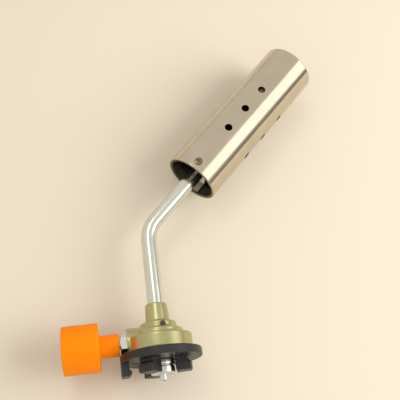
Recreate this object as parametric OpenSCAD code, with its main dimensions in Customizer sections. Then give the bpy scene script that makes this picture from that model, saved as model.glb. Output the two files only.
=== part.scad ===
// Hand gas torch head for a bayonet gas cartridge.
// Bayonet collar, needle valve with a knob, bent gas tube and a burner in a steel barrel.
// +Z runs up the cartridge and the gas tube, the burner leans towards +X and the knob points to -X.
// The origin is the centre of the collar's underside, where the cartridge seats.

/* [Bayonet collar] */
// Radius of the collar
collar_r = 20; // [19.6:0.1:24]
// Thickness of the collar
collar_t = 4; // [3.2:0.1:4.8]
// Rounding chamfer on the collar's edges
collar_chamfer = 0.6; // [0.2:0.1:1]
// Inner radius of the three claws
claw_in_r = 7.6; // [7.2:0.1:8.4]
// Outer radius of the three claws
claw_out_r = 14.5; // [13.5:0.1:15.4]
// Width of one claw
claw_w = 8; // [6:0.1:11]
// Turn of the claws round the collar
claw_turn = -8; // [-12:1:12]
// Depth of the claws below the collar
claw_h = 6.3; // [5:0.1:8.5]
// Height of the groove that takes the cartridge's flange
groove_h = 2.1; // [1:0.1:2.6]
// Depth of that groove into the claw
groove_d = 1.3; // [0.6:0.1:1.6]
// Radial thickness of the locating lug
lug_t = 4; // [3:0.1:4.6]
// Width of the locating lug
lug_w = 8; // [5:0.1:10]
// Depth of the locating lug below the collar
lug_h = 6.2; // [5:0.1:8]
// How far the lug's barb reaches inwards
lug_barb = 1.1; // [0.5:0.1:1.3]

/* [Collar fixing] */
// Distance of the collar screws and of the peg from the centre
fixing_r = 13; // [12.4:0.1:13.4]
// Thread radius of the collar screws
collar_screw_r = 1.5; // [1.2:0.05:1.6]
// Head radius of the collar screws
collar_head_r = 2.6; // [2.2:0.1:2.8]
// Head height of the collar screws
collar_head_h = 1.4; // [1:0.1:1.7]
// Thread length of the collar screws inside the valve body
collar_screw_grip = 5; // [3:0.1:5.8]
// Radius of the cast peg that stops the collar turning
peg_r = 1.6; // [1.2:0.1:1.8]

/* [Valve body] */
// Radius of the body's flange
flange_r = 16; // [15.8:0.1:18]
// Height of the flange
flange_h = 7.4; // [6.8:0.1:8.4]
// Radius of the middle step
step_r = 12; // [10.6:0.1:13.5]
// Height of the middle step
step_h = 3; // [2:0.1:3.4]
// Radius of the shoulder
shoulder_r = 9; // [8:0.1:10]
// Height of the shoulder
shoulder_h = 3.6; // [3:0.1:4.2]
// Neck radius at its foot
neck_foot_r = 6; // [5.8:0.1:7]
// Neck radius at its top
neck_top_r = 5.4; // [5.3:0.1:6.6]
// Height of the neck
neck_h = 9.8; // [7:0.1:12]
// Fall of the sloping faces between the steps
slope = 0.8; // [0.3:0.1:1.2]
// Radius of the hub that passes through the collar
hub_r = 7; // [6.4:0.05:7.1]
// How far the hub stops short of the collar's underside
hub_recess = 0.6; // [0.3:0.1:1.2]
// Height of the knob's axis above the collar's top
spindle_rise = 5.6; // [5.4:0.05:5.8]
// Radius of the valve boss around the knob's axis
boss_r = 7.5; // [6.8:0.1:8.2]

/* [Needle valve] */
// Radius of the gland nut's thread
gland_r = 4; // [3.8:0.05:4.2]
// Length of the gland nut's thread
gland_thread = 2.4; // [1.8:0.1:2.5]
// Width across flats of the gland nut
gland_af = 10; // [8.6:0.1:10.8]
// Thickness of the gland nut's hexagon
gland_hex = 3.2; // [2.4:0.1:3.4]
// Thickness of the gland washer
gland_washer_t = 0.6; // [0.4:0.1:0.8]
// Radius of the chamber that the spindle seal runs in
seal_bore_r = 3.6; // [3.5:0.05:3.7]
// Thread radius of the spindle
spindle_thread_r = 3; // [2.6:0.05:3.1]
// Length of the spindle's thread
spindle_thread_len = 4; // [3:0.1:4.1]
// Radius of the spindle's stem
stem_r = 2; // [1.8:0.05:2.1]
// Section radius of the spindle seal
seal_wire_r = 0.72; // [0.68:0.01:0.74]
// Radius of the needle chamber
chamber_r = 2.2; // [1.9:0.05:2.4]
// Radius of the needle's shaft
needle_r = 1.6; // [1.4:0.05:1.7]
// Radius of the valve seat
seat_r = 0.9; // [0.8:0.05:1]
// How far the needle lifts off its seat when fully open
needle_lift = 1.5; // [1:0.1:1.55]

/* [Knob] */
// Radius of the knob's grip
knob_r = 11.75; // [9:0.05:14]
// Length of the knob's grip
knob_len = 17.5; // [15:0.1:22]
// Radius of the knob's neck
knob_neck_r = 5.5; // [5:0.05:7]
// Length of the knob's neck
knob_neck_len = 9.6; // [7:0.1:12]
// Chamfer on the knob's edges
knob_chamfer = 0.8; // [0.2:0.1:1.5]
// Wall of the knob around its cored end
knob_wall = 2.2; // [1.6:0.1:3]
// Depth of the ring cored out of the knob's end
knob_core = 12; // [6:0.1:13]
// Depth of the recess that holds the knob screw
screw_recess = 7; // [4:0.1:8]
// Thread radius of the knob screw
knob_screw_r = 1.25; // [1:0.05:1.3]
// Head radius of the knob screw
knob_head_r = 2.5; // [2.2:0.1:3]
// Head height of the knob screw
knob_head_h = 1.6; // [1:0.1:2]

/* [Inlet] */
// Radius of the inlet spigot
spigot_r = 5.9; // [5.6:0.05:6.2]
// How far the spigot's shoulder reaches below the collar
spigot_drop = 6.5; // [5:0.1:8]
// Thread radius of the spigot inside the body
spigot_thread_r = 5; // [4.8:0.05:5.1]
// Radius of the nozzle at the spigot's tip
nozzle_r = 2; // [1.8:0.05:2.4]
// Length of the nozzle at the spigot's tip
nozzle_len = 3.2; // [2:0.1:5]
// Radius of the gas way through the spigot
inlet_bore_r = 0.8; // [0.5:0.05:1.1]
// Thickness of the gasket above the spigot's shoulder
gasket_t = 0.8; // [0.5:0.1:1]
// Thickness of the inlet filter
filter_t = 1; // [0.8:0.1:1.2]

/* [Gas tube] */
// Outer radius of the gas tube
tube_r = 4; // [3.4:0.05:4.8]
// Wall of the gas tube
tube_wall = 1; // [0.6:0.05:1.2]
// Height of the bend's corner above the collar's underside
bend_z = 68; // [56:0.5:84]
// Angle that the tube leans over by
bend_angle = 45; // [20:1:60]
// Centre line radius of the bend
bend_r = 16; // [12:0.5:20]
// How much the tube's wall thins on each side along the bend
bend_thin = 0.02; // [0.01:0.01:0.1]
// Section radius of the seal under the tube's end
tube_seal_r = 0.7; // [0.6:0.01:0.75]
// Thread radius of the grub screw that holds the tube
grub_r = 1.5; // [1.2:0.05:1.6]
// Length of that grub screw
grub_len = 3.8; // [3:0.1:4.2]

/* [Barrel] */
// Distance from the bend's corner to the barrel's rear rim
barrel_start = 37.5; // [30:0.5:50]
// Outer radius of the barrel
barrel_r = 15; // [14.9:0.1:18]
// Wall of the barrel
barrel_wall = 0.8; // [0.6:0.05:0.9]
// Length of the barrel
barrel_len = 93; // [84:0.5:115]
// Radius of the air holes
air_hole_r = 2.1; // [1.5:0.05:2.8]
// Distance from the rear rim to the first air hole
air_hole_start = 31; // [26:0.1:33]
// Pitch of the air holes along the barrel
air_hole_pitch = 15.5; // [10:0.1:18]
// Air holes in one row
air_holes = 3; // [1:1:3]
// Rows of air holes round the barrel
air_rows = 4; // [3:1:8]

/* [Tube bracket] */
// Width of the strap that carries the barrel
strap_w = 9; // [8.6:0.1:11]
// Thickness of the strap
strap_t = 1.2; // [0.8:0.1:1.4]
// Distance from the rear rim to the strap's web
strap_u = 7.4; // [7:0.1:8]
// How far the strap's legs stop short of the rear rim
strap_inset = 1.2; // [0.6:0.1:1.6]
// Length of the drawn collar round the tube
strap_hub = 2.2; // [1.2:0.1:2.8]
// Distance from the rear rim to the bracket screws
bracket_screw_u = 4.4; // [4:0.1:4.8]
// Thread radius of the bracket screws
bracket_screw_r = 1.25; // [1:0.05:1.4]
// Head radius of the bracket screws
bracket_head_r = 2.1; // [1.8:0.1:2.3]
// Head height of the bracket screws
bracket_head_h = 0.7; // [0.5:0.1:1]

/* [Burner] */
// Distance from the rear rim to the jet holder
holder_u = 11.4; // [11.3:0.1:12]
// Radius of the jet holder's rear
holder_r = 5.6; // [5.2:0.1:6.4]
// Length of the jet holder's rear
holder_rear = 6; // [5:0.1:7]
// Length of the jet holder's flange
holder_flange = 4; // [3:0.1:5]
// Radius of the jet holder's nose
holder_nose_r = 3.2; // [2.6:0.1:4]
// Length of the jet holder's nose
holder_nose = 3; // [2:0.1:4]
// How far the gas tube enters the jet holder
tube_grip = 5; // [4:0.1:5.6]
// Thread radius of the gas jet
jet_r = 1.5; // [1.2:0.05:1.8]
// Radius of the gas jet's orifice
orifice_r = 0.2; // [0.15:0.01:0.4]
// Outer radius of the mixing tube
mixer_r = 8.5; // [7.6:0.1:9.4]
// Wall of the mixing tube
mixer_wall = 0.8; // [0.5:0.05:1]
// Length of the mixing tube
mixer_len = 38; // [34:0.5:40]
// Radius of the four air ports in the mixing tube
port_r = 2.5; // [1.5:0.1:3]
// Outer radius of the burner head
head_r = 12.8; // [12:0.1:13.2]
// Length of the burner head ahead of the mixing tube
head_len = 10; // [9:0.1:13]
// Length of the burner head's sleeve over the mixing tube
head_sleeve = 6; // [4:0.1:8]
// Wall of the burner head
head_wall = 1; // [0.8:0.05:1.2]
// Thickness of the flame disc
disc_t = 1.4; // [1:0.1:2]
// Radius of the flame ports
flame_port_r = 0.9; // [0.5:0.05:1.1]

/* [Fits] */
// Radial clearance of a moving fit
run_gap = 0.06; // [0.03:0.01:0.09]
// Radial clearance of a fixed fit
fit_gap = 0.05; // [0.03:0.01:0.1]

/* [Hidden] */
$fn = 64;
// Heights up the valve body
spindle_z = collar_t + spindle_rise;
flange_top = collar_t + flange_h;
step_top = flange_top + step_h;
shoulder_top = step_top + shoulder_h;
neck_top = shoulder_top + neck_h;
// Heights round the inlet
hub_z = hub_recess;
gasket_z = hub_z - gasket_t;
spigot_thread_top = spindle_z - spindle_thread_r - run_gap - 0.8;
filter_z = spigot_thread_top - filter_t - 0.4;
// Heights round the tube's foot
socket_z = spindle_z + spindle_thread_r + run_gap + 0.6;
tube_foot = socket_z + 2 * tube_seal_r + fit_gap;
grub_z = (step_top + shoulder_top) / 2 - 0.2;
grub_turn = -78;
// Stations along the knob's axis, as distances towards -X from the body's centre
boss_x = flange_r;
gland_x = boss_x - gland_thread;
washer_x = gland_x - gland_washer_t;
seal_bore_in = 8.5;
thread_bore_in = 4.4;
seat_x = -2;
seat_end = seat_x - 2.8;
inlet_x = seat_end + 1.1;
way_r = seat_r - 0.15;
// The spindle's head stops on the gland washer when the valve is fully open
head_out = washer_x - needle_lift - 0.15;
head_in = seal_bore_in + 0.1;
seal_x = (head_out + head_in) / 2;
seal_groove_w = 2 * seal_wire_r + 0.3;
seal_groove_r = seal_bore_r - 2 * seal_wire_r - 2 * run_gap;
seal_ring_r = seal_groove_r + run_gap + seal_wire_r;
gland_out = boss_x + gland_hex;
knob_x = gland_out + 0.5;
grip_x = knob_x + knob_neck_len;
knob_end = grip_x + knob_len;
recess_x = knob_end - screw_recess;
web_t = 2.4;
stem_end = recess_x - web_t;
flat_len = 8;
flat_y = 1.4;
knob_screw_grip = 5;
hub_wall = 2.2;
// The needle enters the seat without touching it
needle_tip_r = 0.35;
needle_at_seat = seat_r - fit_gap;
cone_len = 2.4;
cone_past = cone_len * (needle_at_seat - needle_tip_r) / (needle_r - needle_tip_r);
cone_x = seat_x - cone_past;
// Distance from the bend's corner to each end of its arc
bend_leg = bend_r * tan(bend_angle / 2);
// Barrel and burner
barrel_in = barrel_r - barrel_wall;
flange_u = holder_u + holder_rear;
nose_u = flange_u + holder_flange;
jet_u = nose_u + holder_nose;
tube_end_u = holder_u + tube_grip;
mixer_in = mixer_r - mixer_wall;
mixer_end = flange_u + mixer_len;
port_u = jet_u + 5;
head_end = mixer_end + head_len;
flare_len = 4;
disc_seat = 1.6;
screw_groove = 0.5;

// Cylinder along +Z between two heights
module rod(r, from, to) {
    translate([0, 0, from]) cylinder(r = r, h = to - from);
}

// Tube along +Z between two heights
module pipe(r_out, r_in, from, to) {
    difference() {
        rod(r_out, from, to);
        rod(r_in, from - 1, to + 1);
    }
}

// Children drawn along +Z are laid along the knob's axis, pointing to -X
module on_knob() {
    translate([0, 0, spindle_z]) rotate([0, -90, 0]) children();
}

// Children drawn along +Z are laid along the barrel's axis, measured from its rear rim
module on_barrel() {
    translate([0, 0, bend_z])
        rotate([0, bend_angle, 0])
            translate([0, 0, barrel_start]) children();
}

// The places of the two collar screws, between the claws
module at_collar_screws() {
    for (turn = [-60, 60]) rotate([0, 0, turn]) translate([fixing_r, 0, 0]) children();
}

// The places of the two bracket screws, with +Z pointing out of the barrel
module at_bracket_screws() {
    on_barrel()
        for (side = [-1, 1])
            translate([0, 0, bracket_screw_u]) rotate([-90 * side, 0, 0]) children();
}

// Cross slot in a screw's head whose top is at this height
module cross_slot(top, reach) {
    for (turn = [0, 90])
        rotate([0, 0, turn]) translate([-reach, -0.3, top - screw_groove])
            cube([2 * reach, 0.6, 1]);
}

// Ring of three claws, each an arc of one turned profile
module claws() {
    lip = claw_out_r - groove_d;
    for (turn = [0, 120, 240])
        rotate([0, 0, claw_turn + turn])
            intersection() {
                rotate_extrude()
                    polygon([[claw_in_r, 0.5], [claw_in_r, -claw_h], [claw_out_r - 0.6, -claw_h],
                             [claw_out_r, 0.6 - claw_h], [claw_out_r, -groove_h],
                             [lip, -groove_h], [lip, 0.5]]);
                translate([0, -claw_w / 2, -claw_h - 1]) cube([collar_r, claw_w, claw_h + 2]);
            }
}

// Locating lug with its barb, flush with the collar's rim
module lug() {
    inner = collar_r - lug_t;
    intersection() {
        rod(collar_r, -lug_h, 0.5);
        rotate([90, 0, 0])
            translate([0, 0, -lug_w / 2])
                linear_extrude(lug_w)
                    polygon([[-collar_r - 1, 0.5], [-inner, 0.5], [-inner, -lug_h * 0.45],
                             [lug_barb - inner, -lug_h * 0.62], [lug_barb - inner, -lug_h * 0.8],
                             [-inner, 0.2 - lug_h], [-inner, -lug_h], [-collar_r - 1, -lug_h]]);
    }
}

// Black plastic collar that grips the cartridge
module bayonet_collar() {
    color("#1d1d1e") difference() {
        union() {
            rotate_extrude()
                polygon([[0, 0], [collar_r - collar_chamfer, 0], [collar_r, collar_chamfer],
                         [collar_r, collar_t - collar_chamfer],
                         [collar_r - collar_chamfer, collar_t], [0, collar_t]]);
            claws();
            lug();
        }
        rod(hub_r + fit_gap, -claw_h - 1, collar_t + 1);
        at_collar_screws() {
            rod(collar_screw_r + fit_gap, -1, collar_t + 1);
            rod(collar_head_r + 2 * fit_gap, -1, collar_head_h + 0.2);
        }
        rotate([0, 0, 180]) translate([fixing_r, 0, 0]) rod(peg_r + fit_gap, -1, collar_t + 1);
    }
}

// Screws that hold the collar under the valve body
module collar_screws() {
    seat = collar_head_h + 0.2;
    color("#c9ccd0") at_collar_screws() difference() {
        union() {
            rod(collar_head_r, seat - collar_head_h, seat);
            rod(collar_screw_r, seat - 0.1, collar_t + collar_screw_grip);
        }
        mirror([0, 0, 1]) cross_slot(collar_head_h - seat, collar_head_r * 0.7);
    }
}

// Outside of the cast valve body: stacked steps, neck, hub and valve boss
module body_shape() {
    rotate_extrude()
        polygon([[0, hub_z], [hub_r, hub_z], [hub_r, collar_t], [flange_r, collar_t],
                 [flange_r, flange_top - slope], [flange_r - slope, flange_top],
                 [step_r + 0.4, flange_top + 0.2], [step_r, flange_top + slope],
                 [step_r, step_top - slope], [step_r - slope, step_top],
                 [shoulder_r + 0.3, step_top + 0.2], [shoulder_r, step_top + slope],
                 [shoulder_r, shoulder_top - slope], [shoulder_r - slope, shoulder_top],
                 [neck_foot_r + 0.5, shoulder_top + 0.2], [neck_foot_r, shoulder_top + slope],
                 [neck_top_r, neck_top - 0.4], [neck_top_r - 0.4, neck_top], [0, neck_top]]);
    intersection() {
        on_knob() rod(boss_r, 0, boss_x);
        translate([-boss_x, -boss_r, collar_t]) cube([boss_x, 2 * boss_r, 3 * boss_r]);
    }
    rotate([0, 0, 180]) translate([fixing_r, 0, 0]) rod(peg_r, 0.3, collar_t + 1);
}

// Ways bored into the valve body
module body_bores() {
    on_knob() {
        rod(gland_r + fit_gap, washer_x, boss_x + 1);
        rod(seal_bore_r, seal_bore_in, washer_x + 0.01);
        rod(spindle_thread_r + run_gap, thread_bore_in, seal_bore_in + 0.01);
        rod(chamber_r, seat_x, thread_bore_in + 0.01);
        rod(seat_r, seat_end, seat_x + 0.01);
    }
    rod(way_r, spindle_z, socket_z + 0.01);
    rod(tube_r + fit_gap, socket_z, neck_top + 1);
    rod(spigot_thread_r + fit_gap, hub_z - 1, spigot_thread_top + 0.2);
    translate([-inlet_x, 0, 0]) rod(way_r, spigot_thread_top, spindle_z);
    at_collar_screws() rod(collar_screw_r + fit_gap, collar_t - 1, collar_t + collar_screw_grip + 0.5);
    translate([0, 0, grub_z]) rotate([0, 0, grub_turn]) rotate([0, 90, 0])
        rod(grub_r + fit_gap, tube_r, shoulder_r + 1);
}

// Cast zinc valve body
module valve_body() {
    color("#b9b07f") difference() {
        body_shape();
        body_bores();
    }
}

// Inlet fitting that the cartridge's valve meets
module inlet_spigot() {
    nozzle_z = -spigot_drop - nozzle_len;
    color("#c6c8c8") difference() {
        union() {
            rod(spigot_thread_r, gasket_z, spigot_thread_top);
            rotate_extrude()
                polygon([[0, -spigot_drop], [spigot_r - 0.5, -spigot_drop],
                         [spigot_r, 0.5 - spigot_drop], [spigot_r, gasket_z], [0, gasket_z]]);
            rotate_extrude()
                polygon([[0, nozzle_z], [nozzle_r - 0.3, nozzle_z], [nozzle_r, nozzle_z + 0.3],
                         [nozzle_r, 1 - spigot_drop], [0, 1 - spigot_drop]]);
        }
        rod(inlet_bore_r, nozzle_z - 1, spigot_thread_top + 1);
        rod(spigot_thread_r - 0.8, filter_z, spigot_thread_top + 1);
    }
}

// Flat gasket between the spigot's shoulder and the body's hub
module inlet_gasket() {
    color("#2b2b2c") pipe(spigot_r - 0.1, spigot_thread_r + fit_gap, gasket_z, hub_z);
}

// Sintered disc at the inlet
module inlet_filter() {
    color("#a68a4b") rod(spigot_thread_r - 0.8 - fit_gap, filter_z, filter_z + filter_t);
}

// Ring that seals the foot of the gas tube
module tube_seal() {
    color("#2b2b2c") translate([0, 0, socket_z + tube_seal_r])
        rotate_extrude() translate([tube_r - tube_seal_r, 0]) circle(r = tube_seal_r);
}

// Grub screw that clamps the gas tube in the neck
module tube_grub_screw() {
    color("#6e6a5f") translate([0, 0, grub_z]) rotate([0, 0, grub_turn]) rotate([0, 90, 0])
        difference() {
            rod(grub_r, tube_r + fit_gap, tube_r + grub_len);
            rod(grub_r * 0.5, tube_r + grub_len - 1.2, tube_r + grub_len + 1, $fn = 6);
        }
}

// Spindle in its closed place: stem, sealed head, thread and needle
module spindle() {
    thread_end = thread_bore_in + 0.2;
    color("#c7a55a") on_knob() difference() {
        union() {
            rod(stem_r, head_out - 0.1, stem_end);
            rod(seal_bore_r - run_gap, head_in, head_out);
            rod(spindle_thread_r, thread_end, thread_end + spindle_thread_len);
            rod(needle_r, cone_x + cone_len, thread_end + 0.1);
            translate([0, 0, cone_x]) cylinder(r1 = needle_tip_r, r2 = needle_r, h = cone_len);
        }
        pipe(seal_bore_r + 1, seal_groove_r, seal_x - seal_groove_w / 2, seal_x + seal_groove_w / 2);
        translate([flat_y, -stem_r - 1, stem_end - flat_len])
            cube([stem_r + 1, 2 * stem_r + 2, flat_len + 1]);
        rod(knob_screw_r + fit_gap, stem_end - knob_screw_grip - 0.5, stem_end + 1);
    }
}

// Ring in the spindle's groove
module spindle_seal() {
    color("#2b2b2c") on_knob() translate([0, 0, seal_x])
        rotate_extrude() translate([seal_ring_r, 0]) circle(r = seal_wire_r);
}

// Washer behind the gland nut
module gland_washer() {
    color("#c7a55a") on_knob() pipe(gland_r - fit_gap, stem_r + run_gap, washer_x, gland_x);
}

// Hexagon nut that closes the boss round the spindle
module gland_nut() {
    corner_r = gland_af / sqrt(3);
    color("#d2d3cf") on_knob() difference() {
        union() {
            rod(gland_r, gland_x, boss_x + 0.1);
            intersection() {
                rotate([0, 0, 30]) rod(corner_r, boss_x, gland_out, $fn = 6);
                translate([0, 0, boss_x]) cylinder(r1 = gland_af, r2 = gland_af / 2, h = gland_af);
            }
            rod(gland_af / 2 - 0.2, boss_x, gland_out);
        }
        rod(stem_r + run_gap, gland_x - 1, gland_out + 1);
    }
}

// Orange control knob with its neck towards the valve
module knob() {
    core_out = knob_r - knob_wall;
    core_in = knob_head_r + 2 * fit_gap + 2 * hub_wall;
    color("#f58a12") on_knob() difference() {
        rotate_extrude()
            polygon([[0, knob_x], [knob_neck_r - 0.3, knob_x], [knob_neck_r, knob_x + 0.3],
                     [knob_neck_r, grip_x], [knob_r - knob_chamfer, grip_x],
                     [knob_r, grip_x + knob_chamfer], [knob_r, knob_end - knob_chamfer],
                     [knob_r - knob_chamfer, knob_end], [0, knob_end]]);
        difference() {
            rod(stem_r + fit_gap, knob_x - 1, stem_end + 0.2);
            translate([flat_y + fit_gap, -stem_r - 1, stem_end - flat_len + 0.5])
                cube([stem_r + 1, 2 * stem_r + 2, flat_len + 1]);
        }
        rod(knob_screw_r + 2 * fit_gap, stem_end - 1, recess_x + 1);
        rod(knob_head_r + 2 * fit_gap + hub_wall / 2, recess_x, knob_end + 1);
        pipe(core_out, core_in, knob_end - knob_core, knob_end + 1);
    }
}

// Screw that holds the knob on the spindle
module knob_screw() {
    color("#c9ccd0") on_knob() difference() {
        union() {
            rod(knob_head_r, recess_x, recess_x + knob_head_h);
            rod(knob_screw_r, stem_end - knob_screw_grip, recess_x + 0.1);
        }
        cross_slot(recess_x + knob_head_h, knob_head_r * 0.7);
    }
}

// Frame of the tube's bend: +Z is the bend's axis and the arc starts at the leaning leg
module in_bend() {
    translate([bend_r, 0, bend_z - bend_leg]) rotate([90, 0, 0]) rotate([0, 0, 180 - bend_angle])
        children();
}

// Bent steel gas tube: foot, bend and leaning leg
module gas_tube() {
    bore_r = tube_r - tube_wall;
    color("#c3c8c4") {
        pipe(tube_r, bore_r, tube_foot, bend_z - bend_leg);
        in_bend() {
            rotate_extrude(angle = bend_angle) translate([bend_r, 0]) difference() {
                circle(r = tube_r - bend_thin);
                circle(r = bore_r + bend_thin);
            }
            translate([bend_r, 0, 0]) rotate([90, 0, 0])
                pipe(tube_r, bore_r, 0, barrel_start + tube_end_u - bend_leg);
        }
    }
}

// Polished barrel with its rows of air holes
module burner_barrel() {
    color("#cfccc4") difference() {
        on_barrel() pipe(barrel_r, barrel_in, 0, barrel_len);
        on_barrel()
            for (row = [0:air_rows - 1], i = [0:air_holes - 1])
                rotate([0, 0, row * 360 / air_rows])
                    translate([0, 0, air_hole_start + i * air_hole_pitch])
                        rotate([90, 0, 0]) rod(air_hole_r, barrel_in - 2, barrel_r + 1);
        at_bracket_screws() rod(bracket_screw_r + fit_gap, barrel_in - 2, barrel_r + 1);
    }
}

// Strap across the barrel's rear that holds it on the gas tube
module tube_bracket() {
    leg_out = barrel_in - fit_gap;
    leg_in = leg_out - strap_t;
    web_end = strap_u + strap_t;
    color("#9c9c98") difference() {
        on_barrel() union() {
            intersection() {
                difference() {
                    rod(leg_out, strap_inset, web_end);
                    rod(leg_in, strap_inset - 1, strap_u);
                }
                translate([-strap_w / 2, -barrel_r, strap_inset])
                    cube([strap_w, 2 * barrel_r, web_end]);
            }
            rod(tube_r + fit_gap + 1, strap_u, web_end + strap_hub);
        }
        on_barrel() rod(tube_r + fit_gap, strap_u - 1, web_end + strap_hub + 1);
        at_bracket_screws() rod(bracket_screw_r + fit_gap, leg_in - 2, barrel_r);
    }
}

// Screws through the barrel into the strap
module bracket_screws() {
    color("#8f8d86") at_bracket_screws() difference() {
        union() {
            rod(bracket_screw_r, barrel_in - strap_t - 1.2, barrel_r + 0.1);
            intersection() {
                rod(bracket_head_r, barrel_in, barrel_r + bracket_head_h);
                rotate([90, 0, 0])
                    pipe(barrel_r + bracket_head_h, barrel_r, -bracket_head_r, bracket_head_r);
            }
        }
        cross_slot(barrel_r + bracket_head_h, bracket_head_r * 0.7);
    }
}

// Brass holder on the end of the gas tube
module jet_holder() {
    color("#c9a04d") on_barrel() difference() {
        union() {
            rod(holder_r, holder_u, flange_u + 0.1);
            rod(mixer_in - fit_gap, flange_u, nose_u);
            rod(holder_nose_r, nose_u - 0.1, jet_u);
        }
        rod(tube_r + fit_gap, holder_u - 1, tube_end_u);
        rod(holder_nose_r - 0.6, tube_end_u - 0.1, nose_u - 0.6);
        rod(jet_r + fit_gap, nose_u - 1, jet_u + 1);
    }
}

// Filter disc behind the jet
module jet_filter() {
    color("#a68a4b") on_barrel()
        rod(holder_nose_r - 0.6 - fit_gap, tube_end_u + fit_gap, tube_end_u + filter_t);
}

// Gas jet with its fine orifice
module gas_jet() {
    hexagon = 1.6;
    cone = 1.4;
    color("#d2ac55") on_barrel() difference() {
        union() {
            rod(jet_r, nose_u - 0.4, jet_u + 0.1);
            rod(holder_nose_r - 0.8, jet_u, jet_u + hexagon, $fn = 6);
            translate([0, 0, jet_u + hexagon]) cylinder(r1 = jet_r + 0.2, r2 = 0.7, h = cone);
        }
        rod(jet_r / 2, nose_u - 1, jet_u + hexagon);
        rod(orifice_r, jet_u, jet_u + hexagon + cone + 1);
    }
}

// Tube in which gas and air mix
module mixing_tube() {
    color("#8d8b86") on_barrel() difference() {
        pipe(mixer_r, mixer_in, flange_u, mixer_end);
        for (turn = [0, 90, 180, 270])
            rotate([0, 0, turn]) translate([0, 0, port_u]) rotate([90, 0, 0])
                rod(port_r, mixer_in - 3, mixer_r + 1);
    }
}

// Flared head that holds the flame disc
module burner_head() {
    sleeve_r = mixer_r + fit_gap;
    color("#a8763a") on_barrel() rotate_extrude()
        polygon([[sleeve_r, mixer_end - head_sleeve],
                 [sleeve_r + head_wall, mixer_end - head_sleeve],
                 [sleeve_r + head_wall, mixer_end], [head_r, mixer_end + flare_len],
                 [head_r, head_end], [head_r - head_wall, head_end],
                 [head_r - head_wall, head_end - disc_seat - disc_t],
                 [head_r - head_wall - 0.6, head_end - disc_seat - disc_t],
                 [head_r - head_wall - 0.6, mixer_end + flare_len + 0.5],
                 [sleeve_r, mixer_end + 0.5]]);
}

// Perforated disc that the flame sits on
module flame_disc() {
    rings = [[3.4, 6], [6.4, 12], [9.4, 18]];
    from = head_end - disc_seat - disc_t;
    color("#8c6a44") on_barrel() difference() {
        rod(head_r - head_wall - fit_gap, from, from + disc_t);
        rod(flame_port_r, from - 1, from + disc_t + 1);
        for (ring = rings, i = [0:ring[1] - 1])
            rotate([0, 0, i * 360 / ring[1]])
                translate([ring[0], 0, 0]) rod(flame_port_r, from - 1, from + disc_t + 1);
    }
}

bayonet_collar();
collar_screws();
valve_body();
inlet_spigot();
inlet_gasket();
inlet_filter();
tube_seal();
tube_grub_screw();
spindle();
spindle_seal();
gland_washer();
gland_nut();
knob();
knob_screw();
gas_tube();
burner_barrel();
tube_bracket();
bracket_screws();
jet_holder();
jet_filter();
gas_jet();
mixing_tube();
burner_head();
flame_disc();
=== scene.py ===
"""Visual model of a hand gas torch head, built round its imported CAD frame.

Each piece has its own operator. Pieces are shaped in millimetres, in a place of their own,
and brought to metres in the row frame when they are finished.
"""

import math

import bpy
from mathutils import Matrix, Vector


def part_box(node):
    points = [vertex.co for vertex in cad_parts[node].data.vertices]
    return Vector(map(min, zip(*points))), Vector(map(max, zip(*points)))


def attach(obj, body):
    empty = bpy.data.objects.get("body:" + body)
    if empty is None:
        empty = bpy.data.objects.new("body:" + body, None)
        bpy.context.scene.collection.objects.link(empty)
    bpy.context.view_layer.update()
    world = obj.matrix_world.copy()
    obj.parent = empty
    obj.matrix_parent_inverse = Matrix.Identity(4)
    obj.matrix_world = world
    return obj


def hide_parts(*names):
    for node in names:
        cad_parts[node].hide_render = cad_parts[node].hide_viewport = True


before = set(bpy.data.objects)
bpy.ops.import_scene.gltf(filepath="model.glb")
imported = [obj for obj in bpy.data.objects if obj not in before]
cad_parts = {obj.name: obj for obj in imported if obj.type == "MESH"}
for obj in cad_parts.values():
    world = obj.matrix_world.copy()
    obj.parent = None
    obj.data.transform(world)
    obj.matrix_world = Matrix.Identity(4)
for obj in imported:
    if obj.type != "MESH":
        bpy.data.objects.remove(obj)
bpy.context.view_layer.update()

bl_info = {
    "name": "Gas torch head",
    "version": (1, 0, 0),
    "blender": (4, 5, 0),
    "location": "View3D > Sidebar > Torch",
    "description": "Models a hand gas torch head with its burner, valve, knob and bayonet collar",
    "category": "Add Mesh",
}

MM = 0.001
SMOOTH_UNDER = math.radians(32)

# Millimetres: how close points merge in a finished piece and in a turned outline,
# the gap between parts that pass through each other, and the radius of the circle
# that the collar's peg and screws stand on
MERGE = 0.001
RING_MERGE = 0.0005
PASS_GAP = 0.05
FIXING_CIRCLE = 13

GRUB_TURN = math.radians(-78)

# The lamps, in metres: how far they stand from what they aim at, where and how large
LAMP_DISTANCE = 0.7
WINDOW_TOWARDS = (0.755, -0.607, -0.246)
WINDOW_SIZE = (0.49, 0.6)
LAMP_TOWARDS = (-0.24, -0.895, 0.377)
LAMP_SIZE = (0.2, 0.24)

# The camera: its lens in millimetres, its place in metres and its directions
CAMERA_LENS = 61.7
CAMERA_PLACE = (-0.01902, -0.33645, -0.05623)
CAMERA_RIGHT = (0.98735, -0.08875, -0.13137)
CAMERA_FORWARD = (0.13251, 0.91689, 0.37650)


# ---------------------------------------------------------------- sizes and colours


def length(name, description, default):
    """A length property, in metres."""
    return bpy.props.FloatProperty(name=name, description=description, default=default, unit="LENGTH")


def colour(name, description, default):
    """A colour property."""
    return bpy.props.FloatVectorProperty(
        name=name, description=description, default=default, subtype="COLOR", min=0, max=1
    )


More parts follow.
